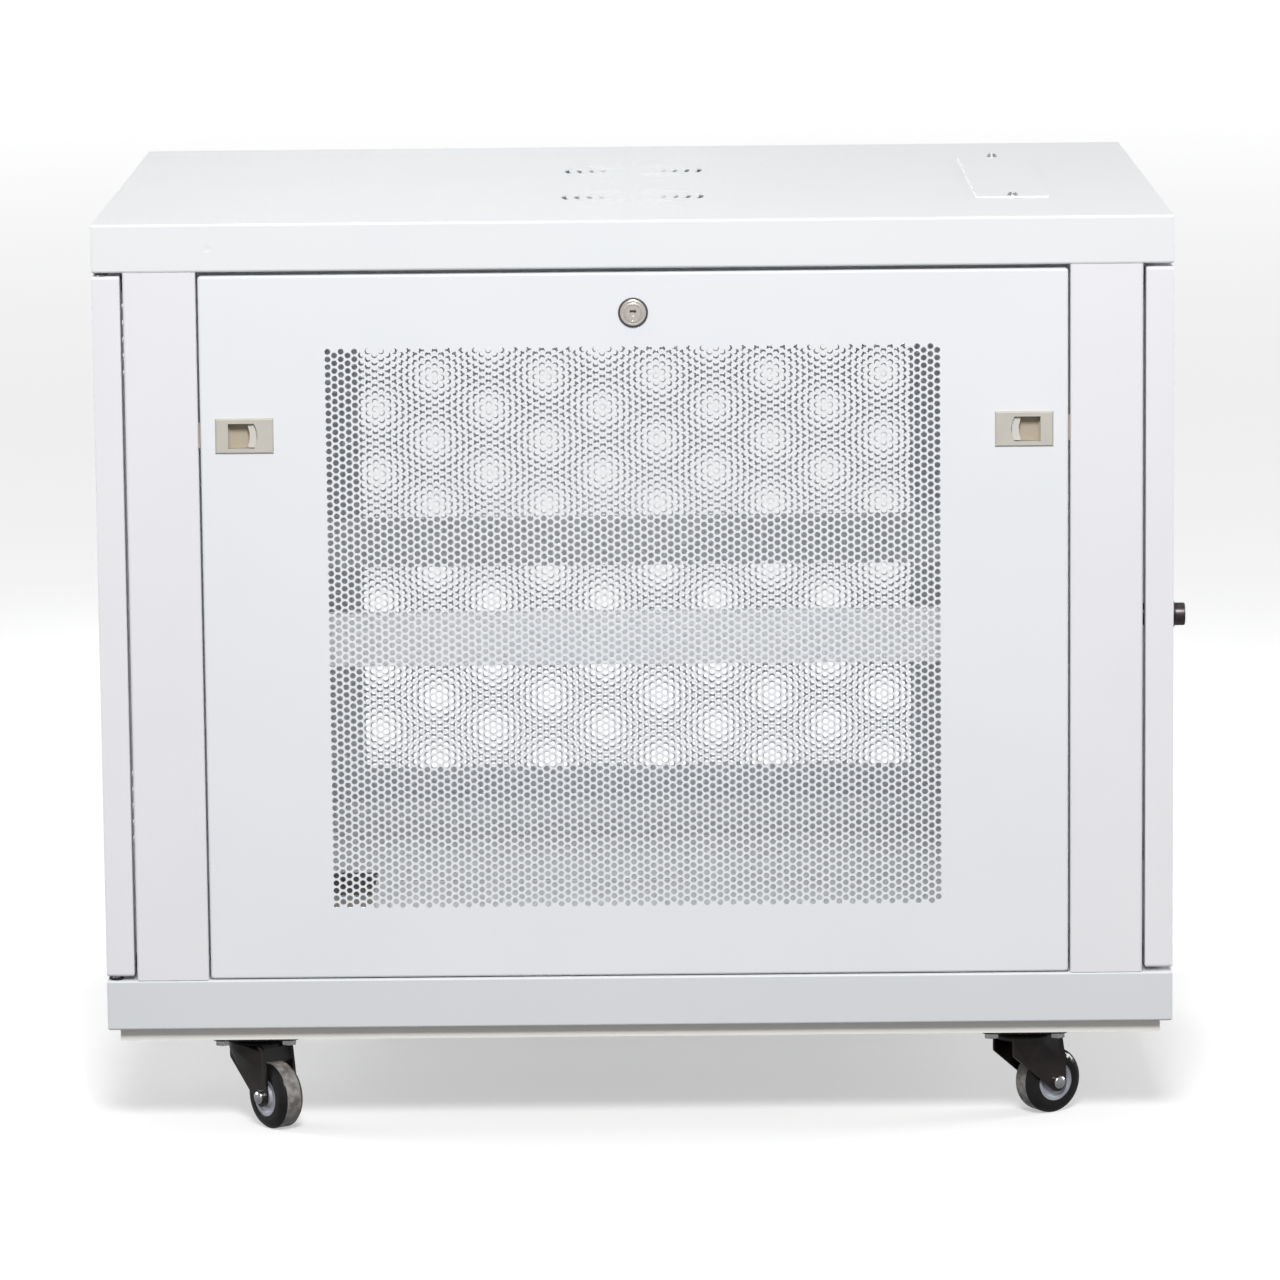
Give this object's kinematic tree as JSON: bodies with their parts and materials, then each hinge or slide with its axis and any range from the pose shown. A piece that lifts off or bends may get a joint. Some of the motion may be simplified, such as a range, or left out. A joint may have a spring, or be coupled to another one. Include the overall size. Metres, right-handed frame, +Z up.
{
  "type": "network server rack cabinet",
  "caption": "Low floor-standing network cabinet with perforated quick-release side panels, glass front door, steel rear door, 19-inch rails and swivel casters.",
  "frame": {"origin": "on the floor under the middle of the cabinet", "axes": "+Z up; -Y is the glass front door, +Y the rear door; +X is the right-hand side seen from the front"},
  "size_m": [0.6052, 0.8208, 0.693],
  "materials": {
    "white_powder_coat": "fine-textured satin powder coat",
    "grey_powder_coat": "satin powder coat",
    "zinc_plate": "bright zinc plate",
    "lock_nickel": "turned and satin nickel plate",
    "lock_gunmetal": "dark gunmetal plate",
    "latch_plastic": "moulded, fine grain",
    "bush_nylon": "moulded nylon",
    "door_glass": "tempered, grey tint",
    "seal_rubber": "extruded seal",
    "black_steel": "black e-coat over pressed steel",
    "hub_plastic": "moulded nylon",
    "tyre_rubber": "smooth tread"
  },
  "bodies": {
    "cabinet": {"top_cover": "white_powder_coat", "top_cable_cover": "white_powder_coat", "top_cover_screws": "zinc_plate", "base_frame": "white_powder_coat", "lower_frame": "grey_powder_coat", "floor_panel": "white_powder_coat", "floor_cover_plate": "white_powder_coat", "post_front_left": "white_powder_coat", "post_front_right": "white_powder_coat", "post_rear_left": "white_powder_coat", "post_rear_right": "white_powder_coat", "brace_left": "white_powder_coat", "brace_right": "white_powder_coat", "rail_front_left": "zinc_plate", "rail_front_right": "zinc_plate", "rail_rear_left": "zinc_plate", "rail_rear_right": "zinc_plate", "frame_bolts": "zinc_plate", "rail_bolts": "zinc_plate", "hinge_bushes": "bush_nylon", "side_panel_left": "white_powder_coat", "side_panel_right": "white_powder_coat", "latch_housings": "latch_plastic", "side_lock_body_left": "lock_nickel", "side_lock_body_right": "lock_nickel", "caster_plates": "black_steel", "caster_bolts": "zinc_plate"},
    "latch_left_front": {"latch_slider_left_front": "latch_plastic"},
    "latch_left_rear": {"latch_slider_left_rear": "latch_plastic"},
    "latch_right_front": {"latch_slider_right_front": "latch_plastic"},
    "latch_right_rear": {"latch_slider_right_rear": "latch_plastic"},
    "side_lock_left": {"side_lock_cam_left": "lock_nickel"},
    "side_lock_right": {"side_lock_cam_right": "lock_nickel"},
    "front_door": {"front_door_frame": "white_powder_coat", "front_door_glass": "door_glass", "front_door_seal": "seal_rubber", "front_hinge_pins": "zinc_plate", "front_lock_body": "lock_gunmetal"},
    "front_lock": {"front_lock_cam": "lock_gunmetal"},
    "rear_door": {"rear_door_panel": "white_powder_coat", "rear_hinge_pins": "zinc_plate", "rear_lock_body": "lock_gunmetal"},
    "rear_lock": {"rear_lock_cam": "lock_gunmetal"},
    "caster_front_left": {"fork_front_left": "black_steel", "axle_front_left": "zinc_plate"},
    "wheel_front_left": {"hub_front_left": "hub_plastic", "tyre_front_left": "tyre_rubber"},
    "caster_front_right": {"fork_front_right": "black_steel", "axle_front_right": "zinc_plate"},
    "wheel_front_right": {"hub_front_right": "hub_plastic", "tyre_front_right": "tyre_rubber"},
    "caster_rear_left": {"fork_rear_left": "black_steel", "axle_rear_left": "zinc_plate"},
    "wheel_rear_left": {"hub_rear_left": "hub_plastic", "tyre_rear_left": "tyre_rubber"},
    "caster_rear_right": {"fork_rear_right": "black_steel", "axle_rear_right": "zinc_plate"},
    "wheel_rear_right": {"hub_rear_right": "hub_plastic", "tyre_rear_right": "tyre_rubber"}
  },
  "joints": [
    {"name": "latch_left_front_slide", "type": "slide", "parent": "cabinet", "child": "latch_left_front", "axis": [0, 1, 0], "range_m": [0, 0.009], "stiffness_N_per_m": 200, "springref_m": -0.01},
    {"name": "latch_left_rear_slide", "type": "slide", "parent": "cabinet", "child": "latch_left_rear", "axis": [0, -1, 0], "range_m": [0, 0.009], "stiffness_N_per_m": 200, "springref_m": -0.01},
    {"name": "latch_right_front_slide", "type": "slide", "parent": "cabinet", "child": "latch_right_front", "axis": [0, 1, 0], "range_m": [0, 0.009], "stiffness_N_per_m": 200, "springref_m": -0.01},
    {"name": "latch_right_rear_slide", "type": "slide", "parent": "cabinet", "child": "latch_right_rear", "axis": [0, -1, 0], "range_m": [0, 0.009], "stiffness_N_per_m": 200, "springref_m": -0.01},
    {"name": "side_lock_left_turn", "type": "hinge", "parent": "cabinet", "child": "side_lock_left", "pos_m": [-0.3, 0, 0.6207], "axis": [-1, 0, 0], "range_deg": [0, 90]},
    {"name": "side_lock_right_turn", "type": "hinge", "parent": "cabinet", "child": "side_lock_right", "pos_m": [0.3, 0, 0.6207], "axis": [1, 0, 0], "range_deg": [0, 90]},
    {"name": "front_door_hinge", "type": "hinge", "parent": "cabinet", "child": "front_door", "pos_m": [0.293, -0.393, 0.3867], "axis": [0, 0, 1], "range_deg": [0, 180]},
    {"name": "front_lock_turn", "type": "hinge", "parent": "front_door", "child": "front_lock", "pos_m": [-0.27, -0.4, 0.3867], "axis": [0, -1, 0], "range_deg": [0, 90]},
    {"name": "rear_door_hinge", "type": "hinge", "parent": "cabinet", "child": "rear_door", "pos_m": [-0.293, 0.393, 0.3867], "axis": [0, 0, 1], "range_deg": [0, 180]},
    {"name": "rear_lock_turn", "type": "hinge", "parent": "rear_door", "child": "rear_lock", "pos_m": [0.27, 0.4, 0.3867], "axis": [0, 1, 0], "range_deg": [0, 90]},
    {"name": "caster_front_left_swivel", "type": "hinge", "parent": "cabinet", "child": "caster_front_left", "pos_m": [-0.253, -0.29, 0.0635], "axis": [0, 0, 1], "continuous": true},
    {"name": "wheel_front_left_spin", "type": "hinge", "parent": "caster_front_left", "child": "wheel_front_left", "pos_m": [-0.24081, -0.3095, 0.025], "axis": [0.848, 0.5299, 0], "continuous": true},
    {"name": "caster_front_right_swivel", "type": "hinge", "parent": "cabinet", "child": "caster_front_right", "pos_m": [0.253, -0.29, 0.0635], "axis": [0, 0, 1], "continuous": true},
    {"name": "wheel_front_right_spin", "type": "hinge", "parent": "caster_front_right", "child": "wheel_front_right", "pos_m": [0.27062, -0.27522, 0.025], "axis": [-0.6428, 0.766, 0], "continuous": true},
    {"name": "caster_rear_left_swivel", "type": "hinge", "parent": "cabinet", "child": "caster_rear_left", "pos_m": [-0.253, 0.29, 0.0635], "axis": [0, 0, 1], "continuous": true},
    {"name": "wheel_rear_left_spin", "type": "hinge", "parent": "caster_rear_left", "child": "wheel_rear_left", "pos_m": [-0.27137, 0.27616, 0.025], "axis": [0.6018, -0.7986, 0], "continuous": true},
    {"name": "caster_rear_right_swivel", "type": "hinge", "parent": "cabinet", "child": "caster_rear_right", "pos_m": [0.253, 0.29, 0.0635], "axis": [0, 0, 1], "continuous": true},
    {"name": "wheel_rear_right_spin", "type": "hinge", "parent": "caster_rear_right", "child": "wheel_rear_right", "pos_m": [0.2638, 0.31031, 0.025], "axis": [-0.8829, 0.4695, 0], "continuous": true}
  ]
}
